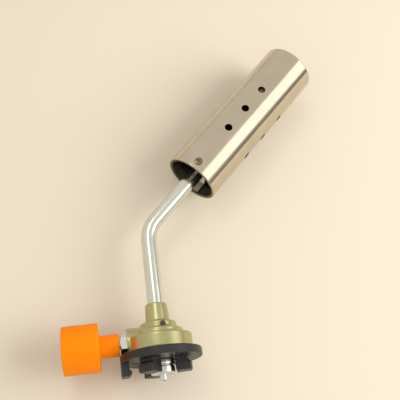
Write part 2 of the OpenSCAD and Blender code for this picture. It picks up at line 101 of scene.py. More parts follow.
class TorchSizes(bpy.types.PropertyGroup):
    """Sizes that the frame's boxes don't give."""

    lean: bpy.props.FloatProperty(
        name="Lean",
        description="Angle between the barrel and the upright tube",
        default=math.radians(45),
        subtype="ANGLE",
    )
    barrel_wall: length("Barrel wall", "Thickness of the barrel's sheet", 0.0008)
    hole_radius: length("Air hole radius", "Radius of one air hole", 0.0021)
    hole_start: length("First air hole", "From the rear rim to the first hole", 0.031)
    hole_pitch: length("Air hole pitch", "Step between the holes of a row", 0.0155)
    holes: bpy.props.IntProperty(name="Holes in a row", description="Holes along a row", default=3)
    rows: bpy.props.IntProperty(name="Rows", description="Rows of holes round the barrel", default=4)
    screw_station: length("Bracket screws", "From the rear rim to the bracket screws", 0.0044)
    strap_width: length("Strap width", "Width of the strap in the barrel", 0.009)
    strap_thick: length("Strap thickness", "Thickness of the strap's sheet", 0.0012)
    strap_station: length("Strap", "From the rear rim to the strap's web", 0.0074)
    tube_wall: length("Tube wall", "Wall of the gas tube", 0.001)
    bend_radius: length("Bend radius", "Centre line radius of the tube's bend", 0.016)
    spindle_radius: length("Spindle radius", "Radius of the spindle's stem", 0.002)
    claw_width: length("Claw width", "Width of a bayonet claw", 0.008)
    claw_turn: bpy.props.FloatProperty(
        name="Claw turn",
        description="Turn of the claws round the collar",
        default=math.radians(-8),
        subtype="ANGLE",
    )


class TorchColours(bpy.types.PropertyGroup):
    """Main colours of the finishes."""

    knob: colour("Knob", "Moulded orange plastic", (0.93, 0.24, 0.0))
    collar: colour("Collar", "Moulded black plastic", (0.012, 0.011, 0.012))
    casting: colour("Casting", "Yellow chromate on zinc", (0.50, 0.485, 0.25))
    barrel: colour("Barrel", "Polished stainless steel", (0.62, 0.55, 0.44))
    tube: colour("Tube", "Bright zinc on steel", (0.74, 0.76, 0.70))
    surface: colour("Surface", "Pale surface behind the torch", (0.71, 0.635, 0.525))


def sizes():
    """The scene's sizes."""
    return bpy.context.scene.torch_sizes


def colours():
    """The scene's colours."""
    return bpy.context.scene.torch_colours


# ---------------------------------------------------------------- places from the frame


def box_mm(node):
    """Lowest and highest corner of a CAD node, in millimetres."""
    low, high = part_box(node)
    return low / MM, high / MM


def knob_frame():
    """Takes +Z to the knob's axis, pointing to -X from above the body's centre."""
    low, high = box_mm("knob")
    middle = Matrix.Translation((0, 0, (low.z + high.z) / 2))
    return middle @ Matrix.Rotation(-math.pi / 2, 4, "Y")


def barrel_size():
    """Radius and length of the barrel."""
    low, high = box_mm("burner_barrel")
    radius = (high.y - low.y) / 2
    lean = sizes().lean
    return radius, (high.x - low.x - 2 * radius * math.cos(lean)) / math.sin(lean)


def tube_radius():
    """Outer radius of the gas tube."""
    low, high = box_mm("gas_tube")
    return (high.y - low.y) / 2


def barrel_frame():
    """Takes +Z to the barrel's axis, starting at the middle of its rear rim."""
    low, high = box_mm("burner_barrel")
    turn = Matrix.Rotation(sizes().lean, 4, "Y")
    to_rear = turn @ Vector((0, 0, barrel_size()[1] / 2))
    return Matrix.Translation((low + high) / 2 - to_rear) @ turn


def bend_corner():
    """Height at which the upright tube's axis meets the barrel's axis."""
    rear = barrel_frame().translation
    return rear.z - rear.x / math.tan(sizes().lean)


# ---------------------------------------------------------------- modelling steps


def only(piece):
    """Makes one object the selected and active one."""
    bpy.ops.object.select_all(action="DESELECT")
    piece.select_set(True)
    bpy.context.view_layer.objects.active = piece


def take_new(name):
    """Names the primitive that was just added."""
    piece = bpy.context.object
    piece.name = name
    piece.data.name = name
    return piece


def fillet(corners, radius, steps=4):
    """Rounds each corner between the ends of a (radius, height) outline with a curve."""
    points = [Vector(corners[0])]
    for before, corner, after in zip(corners, corners[1:], corners[2:]):
        corner = Vector(corner)
        one, two = Vector(before) - corner, Vector(after) - corner
        angle = one.angle(two)
        if angle > math.radians(175):
            points.append(corner)
            continue
        reach = min(radius / math.tan(angle / 2), one.length * 0.48, two.length * 0.48)
        start, end = corner + one.normalized() * reach, corner + two.normalized() * reach
        for i in range(steps + 1):
            t = i / steps
            points.append(start * (1 - t) ** 2 + corner * 2 * t * (1 - t) + end * t**2)
    points.append(Vector(corners[-1]))
    return [(p.x, p.y) for p in points]


def turned(name, outline, sides=64, closed=False):
    """A turned piece along +Z: a circle extruded from ring to ring of a (radius, height) outline.

    A closed outline comes back to its first ring, and an open one is capped at both ends.
    """
    if closed:
        outline = [*outline, outline[0]]
    bpy.ops.object.select_all(action="DESELECT")
    bpy.ops.mesh.primitive_circle_add(vertices=sides, radius=outline[0][0])
    piece = take_new(name)
    bpy.ops.object.mode_set(mode="EDIT")
    bpy.ops.transform.translate(value=(0, 0, outline[0][1]))
    for (r0, z0), (r1, z1) in zip(outline, outline[1:]):
        bpy.ops.mesh.extrude_region_move(TRANSFORM_OT_translate={"value": (0, 0, z1 - z0)})
        bpy.ops.transform.resize(value=(r1 / r0, r1 / r0, 1), center_override=(0, 0, z1))
    bpy.ops.mesh.select_all(action="SELECT")
    bpy.ops.mesh.remove_doubles(threshold=RING_MERGE)
    if not closed:
        bpy.ops.mesh.fill_holes(sides=0)
    bpy.ops.mesh.select_all(action="SELECT")
    bpy.ops.mesh.normals_make_consistent(inside=False)
    bpy.ops.object.mode_set(mode="OBJECT")
    return piece


def block(name, low, high):
    """A box between two corners."""
    low, high = Vector(low), Vector(high)
    bpy.ops.object.select_all(action="DESELECT")
    bpy.ops.mesh.primitive_cube_add(size=1, location=(low + high) / 2, scale=high - low)
    piece = take_new(name)
    settle(piece, Matrix.Identity(4))
    return piece


def rod(name, radius, start, end, sides=48):
    """A round bar along +Z between two heights."""
    return turned(name, [(radius, start), (radius, end)], sides)


def prism(name, radius, start, end):
    """A hexagonal bar along +Z with two flats across Y."""
    bpy.ops.object.select_all(action="DESELECT")
    bpy.ops.mesh.primitive_cylinder_add(
        vertices=6, radius=radius, depth=end - start, location=(0, 0, (start + end) / 2)
    )
    piece = take_new(name)
    settle(piece, Matrix.Rotation(math.radians(30), 4, "Z"))
    return piece


def settle(piece, matrix):
    """Moves a piece by a matrix and puts its place in its mesh."""
    only(piece)
    piece.matrix_world = matrix @ piece.matrix_world
    bpy.ops.object.transform_apply(location=True, rotation=True, scale=True)


def settled(piece, matrix):
    """Settles a piece and gives it back."""
    settle(piece, matrix)
    return piece


def copy_of(piece, matrix):
    """A copy with its own mesh, moved by a matrix."""
    other = piece.copy()
    other.data = piece.data.copy()
    bpy.context.scene.collection.objects.link(other)
    settle(other, matrix)
    return other


def join(pieces):
    """Joins pieces that don't touch into one object."""
    only(pieces[0])
    for piece in pieces[1:]:
        piece.select_set(True)
    bpy.ops.object.join()
    return pieces[0]


def combine(piece, operation, *others):
    """Adds, cuts or intersects other pieces, which are used up."""
    for other in others:
        step = piece.modifiers.new(operation, "BOOLEAN")
        step.operation = operation
        step.object = other
        step.solver = "EXACT"
        only(piece)
        bpy.ops.object.modifier_apply(modifier=step.name)
        bpy.data.objects.remove(other)
    return piece


def soften(piece, width, over=40, segments=2):
    """Rounds every edge sharper than an angle."""
    step = piece.modifiers.new("Round", "BEVEL")
    step.width = width
    step.segments = segments
    step.limit_method = "ANGLE"
    step.angle_limit = math.radians(over)
    only(piece)
    bpy.ops.object.modifier_apply(modifier=step.name)


def cast(piece, voxel, passes):
    """Blends a piece's solids into one skin with soft edges, as a mould leaves them."""
    skin = piece.modifiers.new("Skin", "REMESH")
    skin.mode = "VOXEL"
    skin.voxel_size = voxel
    soft = piece.modifiers.new("Soft", "SMOOTH")
    soft.factor = 0.5
    soft.iterations = passes
    only(piece)
    bpy.ops.object.modifier_apply(modifier=skin.name)
    bpy.ops.object.modifier_apply(modifier=soft.name)


def mend(piece):
    """Merges points that coincide and closes the small holes that cutting leaves."""
    only(piece)
    bpy.ops.object.mode_set(mode="EDIT")
    bpy.ops.mesh.select_all(action="SELECT")
    bpy.ops.mesh.remove_doubles(threshold=MERGE)
    bpy.ops.mesh.dissolve_degenerate(threshold=MERGE)
    bpy.ops.mesh.select_all(action="SELECT")
    bpy.ops.mesh.fill_holes(sides=12)
    bpy.ops.object.mode_set(mode="OBJECT")


def finish_piece(piece, name, body, nodes, material, weighted=False):
    """Brings a piece to metres, shades it, gives it its body and finish, and hides the CAD nodes it stands
    for.
    """
    mend(piece)
    settle(piece, Matrix.Scale(MM, 4))
    piece.name = name
    only(piece)
    bpy.ops.object.shade_smooth_by_angle(angle=SMOOTH_UNDER)
    if weighted:
        step = piece.modifiers.new("Even", "WEIGHTED_NORMAL")
        step.keep_sharp = True
        bpy.ops.object.modifier_apply(modifier=step.name)
    piece.data.materials.clear()
    piece.data.materials.append(material)
    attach(piece, body)
    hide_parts(*nodes)
    return piece


def refinish(node, material):
    """Gives a CAD node that keeps its shape a better material."""
    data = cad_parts[node].data
    data.materials.clear()
    data.materials.append(material)


def cross_cutter(top, reach, wide, deep):
    """A cross to sink in a screw's head."""
    arms = [
        block("Arm", (-reach, -wide / 2, top - deep), (reach, wide / 2, top + 1)),
        block("Arm", (-wide / 2, -reach, top - deep), (wide / 2, reach, top + 1)),
    ]
    return combine(arms[0], "UNION", arms[1])


def pan_screw(name, head_r, head_h, thread_r, thread_end):
    """A pan head screw: its head stands on z = 0 and its thread goes down to thread_end."""
    crown = head_h * 0.45
    outline = [(thread_r * 0.7, thread_end), (thread_r, thread_end + 0.4)]
    turns = max(2, int(-thread_end / 0.5) - 1)
    for i in range(turns):
        low = thread_end + 0.5 + i * 0.5
        outline += [(thread_r * 0.86, low + 0.12), (thread_r, low + 0.3)]
    outline += [(thread_r * 0.9, 0), (head_r - 0.1, 0), (head_r, 0.12), (head_r, head_h - crown)]
    for i in range(1, 6):
        t = math.radians(i * 15)
        outline.append((head_r * (0.45 + 0.55 * math.cos(t)), head_h - crown * (1 - math.sin(t))))
    outline.append((head_r * 0.3, head_h))
    screw = turned(name, outline, 32)
    combine(screw, "DIFFERENCE", cross_cutter(head_h, head_r * 0.6, head_r * 0.24, head_h * 0.5))
    return screw


# ---------------------------------------------------------------- shared effects


def socket(group, name, kind, way, default=None):
    """One input or output of a node group."""
    made = group.interface.new_socket(name, in_out=way, socket_type=kind)
    if default is not None:
        made.default_value = default
    return made


def mottle_group():
    """Two colours mixed by cloudy noise, with the mask it used."""
    group = bpy.data.node_groups.new("Mottle", "ShaderNodeTree")
    socket(group, "Base", "NodeSocketColor", "INPUT")
    socket(group, "Patch", "NodeSocketColor", "INPUT")
    socket(group, "Scale", "NodeSocketFloat", "INPUT", 300.0)
    socket(group, "Amount", "NodeSocketFloat", "INPUT", 0.5)
    socket(group, "Color", "NodeSocketColor", "OUTPUT")
    socket(group, "Mask", "NodeSocketFloat", "OUTPUT")
    nodes, links = group.nodes, group.links
    source, out = nodes.new("NodeGroupInput"), nodes.new("NodeGroupOutput")
    place = nodes.new("ShaderNodeTexCoord")
    noise = nodes.new("ShaderNodeTexNoise")
    noise.inputs["Detail"].default_value = 5
    noise.inputs["Roughness"].default_value = 0.6
    spread = nodes.new("ShaderNodeMapRange")
    spread.inputs["From Min"].default_value = 0.35
    spread.inputs["From Max"].default_value = 0.68
    level = nodes.new("ShaderNodeMath")
    level.operation = "MULTIPLY"
    mix = nodes.new("ShaderNodeMix")
    mix.data_type = "RGBA"
    links.new(place.outputs["Object"], noise.inputs["Vector"])
    links.new(source.outputs["Scale"], noise.inputs["Scale"])
    links.new(noise.outputs["Fac"], spread.inputs["Value"])
    links.new(spread.outputs["Result"], level.inputs[0])
    links.new(source.outputs["Amount"], level.inputs[1])
    links.new(level.outputs[0], mix.inputs["Factor"])
    links.new(source.outputs["Base"], mix.inputs["A"])
    links.new(source.outputs["Patch"], mix.inputs["B"])
    links.new(mix.outputs["Result"], out.inputs["Color"])
    links.new(spread.outputs["Result"], out.inputs["Mask"])
    return group


def grain_group():
    """Fine grain: a roughness value and a normal, stretched along one direction if wanted."""
    group = bpy.data.node_groups.new("Grain", "ShaderNodeTree")
    socket(group, "Scale", "NodeSocketFloat", "INPUT", 2000.0)
    socket(group, "Stretch", "NodeSocketVector", "INPUT", (1, 1, 1))
    socket(group, "Turn", "NodeSocketVector", "INPUT", (0, 0, 0))
    socket(group, "Smooth", "NodeSocketFloat", "INPUT", 0.2)
    socket(group, "Rough", "NodeSocketFloat", "INPUT", 0.4)
    socket(group, "Depth", "NodeSocketFloat", "INPUT", 0.2)
    socket(group, "Roughness", "NodeSocketFloat", "OUTPUT")
    socket(group, "Normal", "NodeSocketVector", "OUTPUT")
    nodes, links = group.nodes, group.links
    source, out = nodes.new("NodeGroupInput"), nodes.new("NodeGroupOutput")
    place = nodes.new("ShaderNodeTexCoord")
    lie = nodes.new("ShaderNodeVectorRotate")
    lie.rotation_type = "EULER_XYZ"
    aim = nodes.new("ShaderNodeVectorMath")
    aim.operation = "MULTIPLY"
    noise = nodes.new("ShaderNodeTexNoise")
    noise.inputs["Detail"].default_value = 3
    rough = nodes.new("ShaderNodeMapRange")
    rough.inputs["From Min"].default_value = 0.3
    rough.inputs["From Max"].default_value = 0.7
    bump = nodes.new("ShaderNodeBump")
    bump.inputs["Distance"].default_value = 0.00005
    links.new(place.outputs["Object"], lie.inputs["Vector"])
    links.new(source.outputs["Turn"], lie.inputs["Rotation"])
    links.new(lie.outputs["Vector"], aim.inputs[0])
    links.new(source.outputs["Stretch"], aim.inputs[1])
    links.new(aim.outputs["Vector"], noise.inputs["Vector"])
    links.new(source.outputs["Scale"], noise.inputs["Scale"])
    links.new(noise.outputs["Fac"], rough.inputs["Value"])
    links.new(source.outputs["Smooth"], rough.inputs["To Min"])
    links.new(source.outputs["Rough"], rough.inputs["To Max"])
    links.new(noise.outputs["Fac"], bump.inputs["Height"])
    links.new(source.outputs["Depth"], bump.inputs["Strength"])
    links.new(rough.outputs["Result"], out.inputs["Roughness"])
    links.new(bump.outputs["Normal"], out.inputs["Normal"])
    return group


def wear_group():
    """A colour that changes along raised edges, broken up by noise."""
    group = bpy.data.node_groups.new("Edge wear", "ShaderNodeTree")
    socket(group, "Base", "NodeSocketColor", "INPUT")
    socket(group, "Worn", "NodeSocketColor", "INPUT")
    socket(group, "Amount", "NodeSocketFloat", "INPUT", 0.5)
    socket(group, "Color", "NodeSocketColor", "OUTPUT")
    nodes, links = group.nodes, group.links
    source, out = nodes.new("NodeGroupInput"), nodes.new("NodeGroupOutput")
    shape = nodes.new("ShaderNodeNewGeometry")
    edge = nodes.new("ShaderNodeMapRange")
    edge.inputs["From Min"].default_value = 0.52
    edge.inputs["From Max"].default_value = 0.62
    place = nodes.new("ShaderNodeTexCoord")
    noise = nodes.new("ShaderNodeTexNoise")
    noise.inputs["Scale"].default_value = 700
    noise.inputs["Detail"].default_value = 4
    broken = nodes.new("ShaderNodeMapRange")
    broken.inputs["From Min"].default_value = 0.38
    broken.inputs["From Max"].default_value = 0.6
    both, level = nodes.new("ShaderNodeMath"), nodes.new("ShaderNodeMath")
    both.operation = level.operation = "MULTIPLY"
    mix = nodes.new("ShaderNodeMix")
    mix.data_type = "RGBA"
    links.new(shape.outputs["Pointiness"], edge.inputs["Value"])
    links.new(place.outputs["Object"], noise.inputs["Vector"])
    links.new(noise.outputs["Fac"], broken.inputs["Value"])
    links.new(edge.outputs["Result"], both.inputs[0])
    links.new(broken.outputs["Result"], both.inputs[1])
    links.new(both.outputs[0], level.inputs[0])
    links.new(source.outputs["Amount"], level.inputs[1])
    links.new(level.outputs[0], mix.inputs["Factor"])
    links.new(source.outputs["Base"], mix.inputs["A"])
    links.new(source.outputs["Worn"], mix.inputs["B"])
    links.new(mix.outputs["Result"], out.inputs["Color"])
    return group


def place_group(tree, group, values):
    """Places a group in a material with its own values."""
    node = tree.nodes.new("ShaderNodeGroup")
    node.node_tree = group
    for name, value in values.items():
        node.inputs[name].default_value = value
    return node


def opaque(rgb):
    """A colour with full alpha."""
    return (*rgb, 1.0)


def finish(name, base, patch, metallic, mottle, grain, worn=None, wear=0.6, **constants):
    """A material: mottled colour, worn edges, grain in its roughness and normal, and constants."""
    material = bpy.data.materials.get(name)
    if material:
        return material
    material = bpy.data.materials.new(name)
    material.use_nodes = True
    tree = material.node_tree
    shader = tree.nodes["Principled BSDF"]
    shader.inputs["Metallic"].default_value = metallic
    for key, value in constants.items():
        shader.inputs[key.replace("_", " ")].default_value = value
    scale, amount = mottle
    cloud = place_group(
        tree,
        bpy.data.node_groups["Mottle"],
        {"Base": opaque(base), "Patch": opaque(patch), "Scale": scale, "Amount": amount},
    )
    fine = place_group(tree, bpy.data.node_groups["Grain"], grain)
    edges = place_group(
        tree, bpy.data.node_groups["Edge wear"], {"Worn": opaque(worn or base), "Amount": wear}
    )
    tree.links.new(cloud.outputs["Color"], edges.inputs["Base"])
    tree.links.new(edges.outputs["Color"], shader.inputs["Base Color"])
    tree.links.new(fine.outputs["Roughness"], shader.inputs["Roughness"])
    tree.links.new(fine.outputs["Normal"], shader.inputs["Normal"])
    return material


# ---------------------------------------------------------------- finishes


def polished_steel():
    """Bright outside, and wherever the surface lies inside the outer skin, rougher and darkened with
    painted shade.
    """
    base = colours().barrel
    material = finish(
        "Polished steel", base, [c * 0.88 for c in base], 1.0, (90.0, 0.6),
        {"Scale": 500.0, "Stretch": (1, 1, 0.06), "Turn": (0, -sizes().lean, 0),
         "Smooth": 0.10, "Rough": 0.18, "Depth": 0.05},
    )
    tree = material.node_tree
    shader = tree.nodes["Principled BSDF"]
    radius = barrel_size()[0] * MM
    offset, across, away = [tree.nodes.new("ShaderNodeVectorMath") for _ in range(3)]
    offset.operation, across.operation, away.operation = "SUBTRACT", "CROSS_PRODUCT", "LENGTH"
    offset.inputs[1].default_value = barrel_frame().translation * MM
    across.inputs[1].default_value = barrel_frame().to_3x3() @ Vector((0, 0, 1))
    inside = tree.nodes.new("ShaderNodeMapRange")
    inside.inputs["From Min"].default_value = radius - 0.0002
    inside.inputs["From Max"].default_value = radius - 0.0006
    # Painted shade: the barrel's inner wall and rear curl are darkened to a dark brown where shade falls
    # inside the barrel; the same mask also makes them rougher.
    painted_shade, dull = tree.nodes.new("ShaderNodeMix"), tree.nodes.new("ShaderNodeMix")
    painted_shade.data_type = "RGBA"
    painted_shade.inputs["B"].default_value = (0.16, 0.135, 0.11, 1)
    dull.inputs["B"].default_value = 0.42
    place = tree.nodes.new("ShaderNodeTexCoord")
    tree.links.new(place.outputs["Object"], offset.inputs[0])
    tree.links.new(offset.outputs["Vector"], across.inputs[0])
    tree.links.new(across.outputs["Vector"], away.inputs[0])
    tree.links.new(away.outputs["Value"], inside.inputs["Value"])
    for mix, name in ((painted_shade, "Base Color"), (dull, "Roughness")):
        tree.links.new(inside.outputs["Result"], mix.inputs["Factor"])
        tree.links.new(shader.inputs[name].links[0].from_socket, mix.inputs["A"])
        tree.links.new(mix.outputs["Result"], shader.inputs[name])
    return material


def bright_zinc():
    base = colours().tube
    return finish(
        "Bright zinc", base, (0.64, 0.69, 0.58), 1.0, (120.0, 0.6),
        {"Scale": 600.0, "Smooth": 0.13, "Rough": 0.24, "Depth": 0.03},
    )


def yellow_casting():
    base = colours().casting
    return finish(
        "Yellow casting", base, (0.42, 0.37, 0.19), 0.9, (130.0, 0.6),
        {"Scale": 4500.0, "Smooth": 0.24, "Rough": 0.36, "Depth": 0.1},
        worn=(0.66, 0.64, 0.46),
    )


def orange_plastic():
    base = colours().knob
    return finish(
        "Orange plastic", base, (0.88, 0.215, 0.0), 0.0, (120.0, 0.7),
        {"Scale": 3500.0, "Smooth": 0.42, "Rough": 0.56, "Depth": 0.2},
        worn=(1.0, 0.42, 0.05), wear=0.4, Specular_IOR_Level=0.12,
    )


def black_plastic():
    base = colours().collar
    return finish(
        "Black plastic", base, (0.022, 0.020, 0.019), 0.0, (200.0, 0.6),
        {"Scale": 3000.0, "Smooth": 0.30, "Rough": 0.50, "Depth": 0.3},
        worn=(0.09, 0.085, 0.08),
    )


def seal_rubber():
    return finish(
        "Seal rubber", (0.02, 0.02, 0.02), (0.035, 0.033, 0.03), 0.0, (300.0, 0.6),
        {"Scale": 4000.0, "Smooth": 0.55, "Rough": 0.75, "Depth": 0.3},
    )


def turned_brass():
    return finish(
        "Turned brass", (0.72, 0.52, 0.20), (0.58, 0.40, 0.15), 1.0, (200.0, 0.5),
        {"Scale": 2500.0, "Stretch": (0.2, 1, 1), "Smooth": 0.2, "Rough": 0.36, "Depth": 0.15},
    )


def heat_brass():
    return finish(
        "Heat-tinted brass", (0.42, 0.22, 0.09), (0.22, 0.12, 0.10), 1.0, (130.0, 0.8),
        {"Scale": 1500.0, "Smooth": 0.34, "Rough": 0.55, "Depth": 0.25},
    )


def heat_steel():
    return finish(
        "Heat-darkened steel", (0.22, 0.20, 0.19), (0.16, 0.12, 0.12), 1.0, (110.0, 0.8),
        {"Scale": 1500.0, "Smooth": 0.34, "Rough": 0.55, "Depth": 0.2},
    )


def plated_steel():
    return finish(
        "Plated steel", (0.74, 0.75, 0.74), (0.60, 0.62, 0.62), 1.0, (220.0, 0.5),
        {"Scale": 5000.0, "Smooth": 0.14, "Rough": 0.26, "Depth": 0.05},
    )


def strap_steel():
    return finish(
        "Strap steel", (0.84, 0.80, 0.73), (0.62, 0.57, 0.49), 1.0, (160.0, 0.7),
        {"Scale": 1800.0, "Stretch": (1, 0.2, 1), "Smooth": 0.30, "Rough": 0.5, "Depth": 0.2},
    )


def dark_steel():
    return finish(
        "Dark screw steel", (0.26, 0.20, 0.14), (0.15, 0.12, 0.10), 1.0, (260.0, 0.7),
        {"Scale": 2200.0, "Smooth": 0.3, "Rough": 0.5, "Depth": 0.2},
    )


def barrel_screw_steel():
    return finish(
        "Barrel screw steel", (0.34, 0.28, 0.18), (0.12, 0.09, 0.06), 1.0, (500.0, 0.9),
        {"Scale": 2200.0, "Smooth": 0.2, "Rough": 0.4, "Depth": 0.2},
    )


def sintered_bronze():
    return finish(
        "Sintered bronze", (0.40, 0.27, 0.12), (0.20, 0.13, 0.06), 0.9, (1600.0, 0.9),
        {"Scale": 5000.0, "Smooth": 0.5, "Rough": 0.75, "Depth": 0.6},
    )


# ---------------------------------------------------------------- pieces


class TORCH_OT_barrel(bpy.types.Operator):
    """Polished barrel with rolled rear rim and rows of air holes"""

    bl_idname = "torch.barrel"
    bl_label = "Barrel"

    def execute(self, context):
        own = sizes()
        radius, long = barrel_size()
        wall = own.barrel_wall / MM
        inner = radius - wall
        rings = 30
        step = (long - 4) / rings
        outer_side = [(radius, 2 + i * step) for i in range(rings + 1)]
        inner_side = [(inner, z) for _, z in reversed(outer_side)]
        curl = inner - 1
        rear = fillet([(inner, 2), (inner, 1.1), (curl, 1.1), (curl, 0), (radius, 0), (radius, 2)], 0.5)
        front = fillet([(radius, long - 2), (radius, long), (inner, long), (inner, long - 2)], 0.25)
        outline = [*rear, *outer_side[1:], *front[1:-1], *inner_side[:-1]]
        barrel = turned("burner_barrel_shell", outline, 96, closed=True)
        cutters = []
        for row in range(own.rows):
            for i in range(own.holes):
                z = (own.hole_start + i * own.hole_pitch) / MM
                hole = rod("Hole", own.hole_radius / MM, inner - 2, radius + 1)
                around = Matrix.Rotation(2 * math.pi * row / own.rows, 4, "Z")
                settle(hole, around @ Matrix.Translation((0, 0, z)) @ Matrix.Rotation(math.pi / 2, 4, "X"))
                cutters.append(hole)
        combine(barrel, "DIFFERENCE", join(cutters))
        soften(barrel, 0.14, over=50)
        settle(barrel, barrel_frame())
        finish_piece(barrel, "burner_barrel_shell", "torch", ["burner_barrel"],
                     polished_steel(), weighted=True)
        return {"FINISHED"}


class TORCH_OT_tube_bracket(bpy.types.Operator):
    """Strap across the rear of the barrel, with its two screws"""

    bl_idname = "torch.tube_bracket"
    bl_label = "Tube bracket"

    def execute(self, context):
        own = sizes()
        radius, _ = barrel_size()
        place = barrel_frame()
        thick = own.strap_thick / MM
        half = own.strap_width / MM / 2
        web = own.strap_station / MM
        reach = radius - own.barrel_wall / MM - PASS_GAP
        tube_r = tube_radius()
        ring = turned("Ring", [(reach, 1.2), (reach, web + thick), (reach - thick, web + thick),
                               (reach - thick, 1.2)], 96, closed=True)
        combine(ring, "INTERSECT", block("Width", (-half, -20, 0), (half, 20, 20)))
        plate = block("Web", (-half, -reach + 0.6, web), (half, reach - 0.6, web + thick))
        combine(ring, "UNION", plate, rod("Hub", tube_r + 1.05, web + 0.2, web + thick + 2.2, 64))
        combine(ring, "DIFFERENCE", rod("Bore", tube_r + PASS_GAP, 0, 20, 64))
        soften(ring, 0.2)
        settle(ring, place)
        finish_piece(ring, "tube_bracket_strap", "torch", ["tube_bracket"], strap_steel())

        screw = pan_screw("Screw", 2.1, 0.68, 1.25, -3.0)
        z = own.screw_station / MM
        both = []
        for side in (-1, 1):
            turn = Matrix.Rotation(math.radians(-90 * side), 4, "X")
            out = Matrix.Translation((0, side * radius, z)) @ turn
            both.append(copy_of(screw, place @ out))
        bpy.data.objects.remove(screw)
        finish_piece(join(both), "bracket_screw_pair", "torch", ["bracket_screws"],
                     barrel_screw_steel())
        return {"FINISHED"}


class TORCH_OT_burner(bpy.types.Operator):
    """Finishes of the mixing tube, burner head and jet inside the barrel"""

    bl_idname = "torch.burner"
    bl_label = "Burner"

    def execute(self, context):
        for node in ("burner_head", "flame_disc"):
            refinish(node, heat_brass())
        refinish("mixing_tube", heat_steel())
        for node in ("jet_holder", "gas_jet"):
            refinish(node, turned_brass())
        refinish("jet_filter", sintered_bronze())
        return {"FINISHED"}


class TORCH_OT_gas_tube(bpy.types.Operator):
    """Bent gas tube, spun round its bend from one circle"""

    bl_idname = "torch.gas_tube"
    bl_label = "Gas tube"

    def execute(self, context):
        own = sizes()
        low, high = box_mm("gas_tube")
        radius = tube_radius()
        bend = own.bend_radius / MM
        leg = bend * math.tan(own.lean / 2)
        corner = bend_corner()
        along = Vector((math.sin(own.lean), 0, math.cos(own.lean)))
        top_out = radius * math.sin(own.lean)
        run = (high.z - top_out - corner) / math.cos(own.lean) - leg
        bpy.ops.object.select_all(action="DESELECT")
        bpy.ops.mesh.primitive_circle_add(vertices=40, radius=radius)
        tube = take_new("gas_tube_bent")
        bpy.ops.object.mode_set(mode="EDIT")
        bpy.ops.transform.translate(value=(0, 0, low.z))
        rings = 10
        rise = (corner - leg - low.z) / rings
        for _ in range(rings):
            bpy.ops.mesh.extrude_region_move(TRANSFORM_OT_translate={"value": (0, 0, rise)})
        bpy.ops.mesh.spin(
            steps=16, angle=-own.lean, center=(bend, 0, corner - leg), axis=(0, 1, 0), use_auto_merge=False
        )
        for _ in range(rings):
            bpy.ops.mesh.extrude_region_move(TRANSFORM_OT_translate={"value": along * run / rings})
        bpy.ops.mesh.select_all(action="SELECT")
        bpy.ops.mesh.remove_doubles(threshold=RING_MERGE)
        bpy.ops.mesh.normals_make_consistent(inside=False)
        bpy.ops.object.mode_set(mode="OBJECT")
        wall = tube.modifiers.new("Wall", "SOLIDIFY")
        wall.thickness = own.tube_wall / MM
        wall.offset = -1
        only(tube)
        bpy.ops.object.modifier_apply(modifier=wall.name)
        finish_piece(tube, "gas_tube_bent", "torch", ["gas_tube"], bright_zinc())
        return {"FINISHED"}


class TORCH_OT_valve_body(bpy.types.Operator):
    """Cast valve body with its steps, neck, boss and bores"""

    bl_idname = "torch.valve_body"
    bl_label = "Valve body"

    def execute(self, context):
        low, high = box_mm("valve_body")
        _, collar_high = box_mm("bayonet_collar")
        base = collar_high.z
        flange = high.x
        top = high.z
        knob = knob_frame()
        hub, tier, shoulder, foot, neck = 7.0, 12.0, 9.0, 6.0, 5.4
        outline = fillet(
            [(hub, 0.6), (hub, base), (flange, base), (flange, base + 7.4), (tier, base + 7.8),
             (tier, base + 10.4), (shoulder, base + 10.9), (shoulder, base + 14.0),
             (foot, base + 14.6), (neck, top), (4.3, top)], 0.8)
        body = turned("valve_body_casting", outline, 96)
        boss = rod("Boss", 7.5, 2, flange, 72)
        settle(boss, knob)
        combine(boss, "INTERSECT", block("Cut", (-20, -10, base), (0, 10, 30)))
        peg = rod("Peg", 1.6, low.z, base + 1, 32)
        settle(peg, Matrix.Translation((-FIXING_CIRCLE, 0, 0)))
        combine(body, "UNION", boss, peg)
        cast(body, 0.3, 4)
        # Radius, start and end along the knob's axis of the bores for the gland, the seal,
        # the thread, the needle's chamber and its seat
        along_knob = ((4.05, 12.9, 20), (3.6, 8.4, 13.0), (3.1, 4.2, 8.5), (2.25, -2.2, 4.3),
                      (0.9, -4.8, -2.1))
        bores = [settled(rod("Bore", *bore), knob) for bore in along_knob]
        socket_bore = rod("Socket", 4.06, 13.2, top + 1)
        inlet = rod("Inlet", 5.1, 0, 6.0)
        grub = rod("Grub", 1.55, 3.5, 10, 32)
        aim = Matrix.Rotation(GRUB_TURN, 4, "Z") @ Matrix.Rotation(math.pi / 2, 4, "Y")
        grub_low, grub_high = box_mm("tube_grub_screw")
        settle(grub, Matrix.Translation((0, 0, (grub_low.z + grub_high.z) / 2)) @ aim)
        combine(body, "DIFFERENCE", *bores, socket_bore, inlet, grub)
        finish_piece(body, "valve_body_casting", "torch", ["valve_body"],
                     yellow_casting())
        refinish("tube_seal", seal_rubber())
        refinish("tube_grub_screw", dark_steel())
        return {"FINISHED"}


